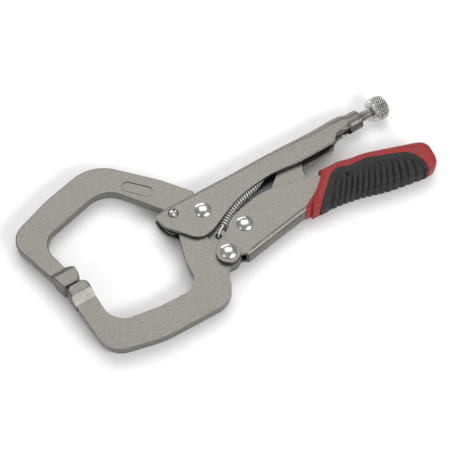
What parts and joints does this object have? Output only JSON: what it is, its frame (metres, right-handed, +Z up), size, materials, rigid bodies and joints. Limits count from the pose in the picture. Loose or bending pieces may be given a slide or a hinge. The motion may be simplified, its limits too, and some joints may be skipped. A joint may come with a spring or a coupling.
{
  "type": "locking c-clamp pliers",
  "caption": "Locking C-clamp pliers with deep forged jaws, a toggle-link handle, an adjusting screw and a ribbed two-colour grip.",
  "frame": {"origin": "under the middle of the tool's outer box, on the surface that it lies on", "axes": "+X runs along the upper handle from the jaws to the adjusting knob, +Y points out of the upper handle's back, +Z is up through the thickness of the tool as it lies on its side"},
  "size_m": [0.287, 0.14, 0.021],
  "materials": {
    "satin_nickel": "satin nickel plate, fine shot-blasted texture",
    "polished_steel": "bright plated, turned or headed",
    "spring_steel": "bright drawn wire",
    "red_plastic": "satin moulded plastic",
    "black_rubber": "matt moulded rubber"
  },
  "bodies": {
    "upper_body": {"upper_handle": "satin_nickel", "fixed_jaw": "satin_nickel", "jaw_staking_pin": "polished_steel", "main_pivot_rivet": "polished_steel", "tension_spring": "spring_steel"},
    "jaw_body": {"moving_jaw": "satin_nickel"},
    "handle_body": {"lower_handle": "satin_nickel", "jaw_pivot_rivet": "polished_steel", "link_pivot_rivet": "polished_steel", "grip_sleeve": "red_plastic", "grip_overmould": "black_rubber"},
    "link_body": {"toggle_link": "satin_nickel"},
    "screw_body": {"adjusting_screw": "polished_steel"},
    "knob_body": {"adjusting_knob": "polished_steel"}
  },
  "joints": [
    {"name": "jaw_swing", "type": "hinge", "parent": "upper_body", "child": "jaw_body", "pos_m": [-0.02084, -0.00188, 0.0105], "axis": [0, 0, 1], "range_deg": [0, 20], "deforming": ["tension_spring"]},
    {"name": "handle_swing", "type": "hinge", "parent": "jaw_body", "child": "handle_body", "pos_m": [-0.02269, -0.03868, 0.0105], "axis": [0, 0, 1], "range_deg": [-71, 0]},
    {"name": "link_swing", "type": "hinge", "parent": "handle_body", "child": "link_body", "pos_m": [-0.00184, -0.02608, 0.0105], "axis": [0, 0, 1], "range_deg": [0, 72]},
    {"name": "screw_travel", "type": "slide", "parent": "upper_body", "child": "screw_body", "axis": [1, 0, 0], "range_m": [0, 0.036]},
    {"name": "knob_turn", "type": "hinge", "parent": "screw_body", "child": "knob_body", "pos_m": [0.13216, 0.00642, 0.0105], "axis": [1, 0, 0], "range_deg": [0, 10370]}
  ],
  "couplings": [
    {"joint": "handle_swing", "follows": "jaw_swing", "ratio": -3.535},
    {"joint": "link_swing", "follows": "jaw_swing", "ratio": 3.585},
    {"joint": "knob_turn", "follows": "screw_travel", "rad_per_m": 5026.5}
  ]
}
